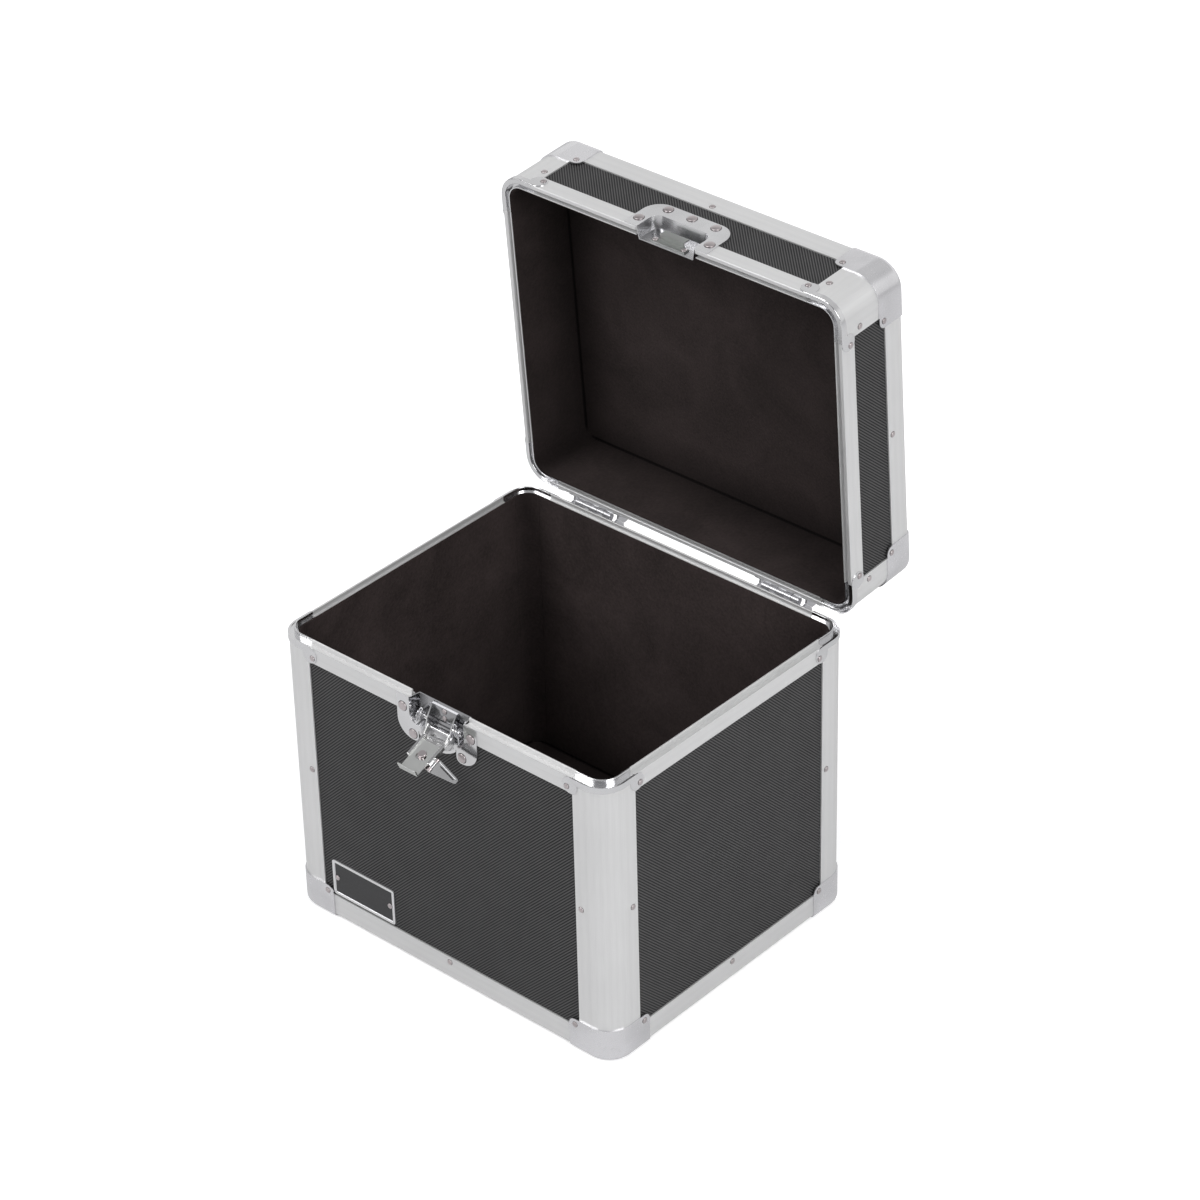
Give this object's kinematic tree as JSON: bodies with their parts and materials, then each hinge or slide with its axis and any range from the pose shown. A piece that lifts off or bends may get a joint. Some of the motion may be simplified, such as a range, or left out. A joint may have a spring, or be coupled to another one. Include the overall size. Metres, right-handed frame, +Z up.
{
  "type": "record carrying case",
  "caption": "Deep rectangular carrying case with aluminium-edged black panels, steel corners, a recessed butterfly latch and a hinged shallow lid.",
  "frame": {"origin": "middle of the lined floor inside the base, where the records stand", "axes": "+Z up, -Y towards the latch, +Y towards the hinges, +X to the right seen from the latch side"},
  "size_m": [0.3688, 0.4352, 0.5943],
  "materials": {
    "velour": "matt brushed fabric lining",
    "laminate": "black ribbed laminate on plywood",
    "core_timber": "plain, hidden between the skins",
    "chromed_trim": "bright plated",
    "extrusion": "finely ribbed, anodised",
    "corner_steel": "smooth plated steel",
    "rivet": "plated",
    "nameplate": "blank pressed sheet",
    "grip": "moulded",
    "spring": "bright wire",
    "hinge_steel": "plated",
    "latch_chrome": "bright plated sheet"
  },
  "bodies": {
    "base": {"base_front_panel": "laminate", "base_back_panel": "laminate", "base_side_panels": "laminate", "base_floor_panel": "laminate", "base_wall_lining": "velour", "base_floor_lining": "velour", "base_corner_lining": "velour", "base_corner_posts": "extrusion", "base_corner_cores": "core_timber", "base_edge_extrusions": "extrusion", "base_rim_extrusions": "extrusion", "base_rim_corners": "chromed_trim", "base_steel_corners": "corner_steel", "base_rivets": "rivet", "nameplate": "nameplate", "nameplate_rivets": "rivet", "latch_dish": "latch_chrome", "latch_dish_rivets": "rivet", "latch_bracket": "latch_chrome", "latch_bracket_rivets": "rivet", "latch_pin": "latch_chrome", "latch_springs": "spring", "hinge_base_leaves": "hinge_steel", "hinge_pins": "hinge_steel", "hinge_base_rivets": "rivet"},
    "lid": {"lid_front_panel": "laminate", "lid_back_panel": "laminate", "lid_side_panels": "laminate", "lid_top_panel": "laminate", "lid_wall_lining": "velour", "lid_top_lining": "velour", "lid_corner_lining": "velour", "lid_corner_posts": "extrusion", "lid_corner_cores": "core_timber", "lid_edge_extrusions": "extrusion", "lid_rim_extrusions": "extrusion", "lid_rim_corners": "chromed_trim", "lid_steel_corners": "corner_steel", "lid_rivets": "rivet", "catch_dish": "latch_chrome", "catch_dish_rivets": "rivet", "catch_keeper": "latch_chrome", "catch_keeper_rivets": "rivet", "hinge_lid_leaves": "hinge_steel", "hinge_lid_rivets": "rivet", "handle_brackets": "latch_chrome", "handle_pins": "latch_chrome", "handle_rivets": "rivet"},
    "handle": {"handle_bail": "latch_chrome", "handle_grip": "grip"},
    "latch_arm": {"latch_carriage": "latch_chrome"},
    "latch_hook": {"latch_hook": "latch_chrome"},
    "latch_spindle": {"latch_spindle": "latch_chrome", "latch_wing_pin": "latch_chrome"},
    "latch_wing": {"latch_wing": "latch_chrome"}
  },
  "joints": [
    {"name": "lid_hinge", "type": "hinge", "parent": "base", "child": "lid", "pos_m": [0, 0.158, 0.26685], "axis": [1, 0, 0], "range_deg": [0, 86]},
    {"name": "handle_fold", "type": "hinge", "parent": "lid", "child": "handle", "pos_m": [0, 0.23232, 0.43043], "axis": [1, 0, 0], "range_deg": [0, 180]},
    {"name": "latch_swing", "type": "hinge", "parent": "base", "child": "latch_arm", "pos_m": [0, -0.1505, 0.2443], "axis": [-1, 0, 0], "range_deg": [0, 112.6], "stiffness_Nm_per_rad": 0.01, "springref_deg": -20.05},
    {"name": "latch_turn", "type": "hinge", "parent": "latch_arm", "child": "latch_spindle", "pos_m": [0, -0.17166, 0.23138], "axis": [0, 0.3843, -0.9232], "range_deg": [0, 180]},
    {"name": "hook_slide", "type": "slide", "parent": "latch_arm", "child": "latch_hook", "axis": [0, 0.9232, 0.3843], "range_m": [0, 0.004]},
    {"name": "wing_fold", "type": "hinge", "parent": "latch_spindle", "child": "latch_wing", "pos_m": [0.0122, -0.17289, 0.22783], "axis": [0, 0.9232, 0.3843], "range_deg": [-12, 78]}
  ],
  "couplings": [
    {"joint": "latch_turn", "follows": "hook_slide", "rad_per_m": 785.4}
  ]
}
